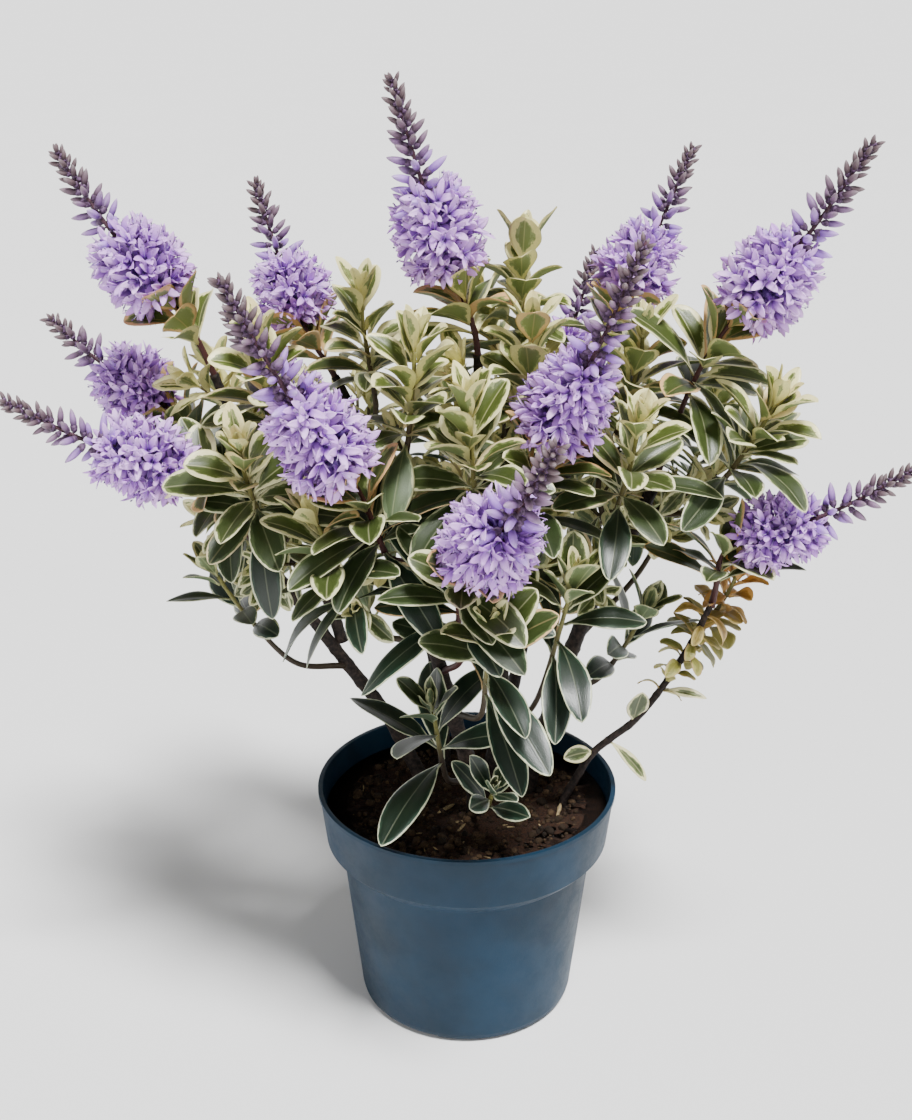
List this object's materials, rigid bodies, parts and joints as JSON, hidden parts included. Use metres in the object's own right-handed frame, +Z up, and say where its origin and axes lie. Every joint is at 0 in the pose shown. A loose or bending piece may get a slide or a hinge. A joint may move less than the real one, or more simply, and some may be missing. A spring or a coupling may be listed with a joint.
{
  "type": "potted hebe",
  "caption": "Variegated hebe shrub in a round plastic nursery pot: woody stems, crossed pairs of cream-edged leaves and tapering lilac flower spikes.",
  "frame": {"origin": "centre of the pot's flat base, on the surface that it stands on", "axes": "+Z up along the pot's axis; -Y towards the plant's front, +X to its right"},
  "size_m": [0.3544, 0.2762, 0.3974],
  "materials": {
    "pot_plastic": "satin moulded blue-grey polypropylene",
    "compost": "crumbly dark brown peat and bark compost",
    "bark": "fine brown bark, darker towards the top",
    "young_stem": "smooth young stem",
    "leaf": "glossy green with cream edges",
    "wilted_leaf": "dull amber and olive",
    "petal": "soft matt lilac",
    "bud": "violet to dark mauve",
    "flower_stalk": "dull purple-brown"
  },
  "bodies": {
    "root": {"branch_left_high": "bark", "flower_spike_back_left": "petal", "flower_spike_back_right": "petal", "flower_spike_centre_right": "petal", "flower_spike_front": "petal", "flower_spike_front_left": "petal", "flower_spike_low_left": "petal", "flower_spike_low_right": "petal", "flower_spike_mid_left": "petal", "flower_spike_rear_left": "petal", "flower_spike_rear_right": "petal", "flower_spike_top": "petal", "flower_spike_upper_left": "petal", "flower_spike_upper_right": "petal", "pot": "pot_plastic", "shoot_back_left": "leaf", "shoot_back_right": "leaf", "shoot_centre_front": "leaf", "shoot_centre_right": "leaf", "shoot_crown_back": "leaf", "shoot_crown_back_left": "leaf", "shoot_crown_centre": "leaf", "shoot_crown_front": "leaf", "shoot_crown_left": "leaf", "shoot_crown_middle": "leaf", "shoot_crown_right": "leaf", "shoot_front": "leaf", "shoot_front_centre": "leaf", "shoot_front_left": "leaf", "shoot_front_low_left": "leaf", "shoot_front_right": "leaf", "shoot_left_front": "leaf", "shoot_left_low": "leaf", "shoot_low_left": "leaf", "shoot_low_right": "leaf", "shoot_mid_left": "leaf", "shoot_pot_front": "leaf", "shoot_rear_left": "leaf", "shoot_rear_middle": "leaf", "shoot_rear_outer": "leaf", "shoot_rear_right": "leaf", "shoot_right_back": "leaf", "shoot_right_inner": "leaf", "shoot_right_low_inner": "leaf", "shoot_right_outer": "leaf", "shoot_soil": "leaf", "shoot_top": "leaf", "shoot_upper_left": "leaf", "shoot_upper_right": "leaf", "shoot_wilted": "wilted_leaf", "soil": "compost", "stem_back_left": "bark", "stem_back_right": "bark", "stem_centre": "bark", "stem_front": "bark", "stem_left": "bark", "stem_right": "bark", "stem_right_low": "bark"}
  },
  "joints": []
}
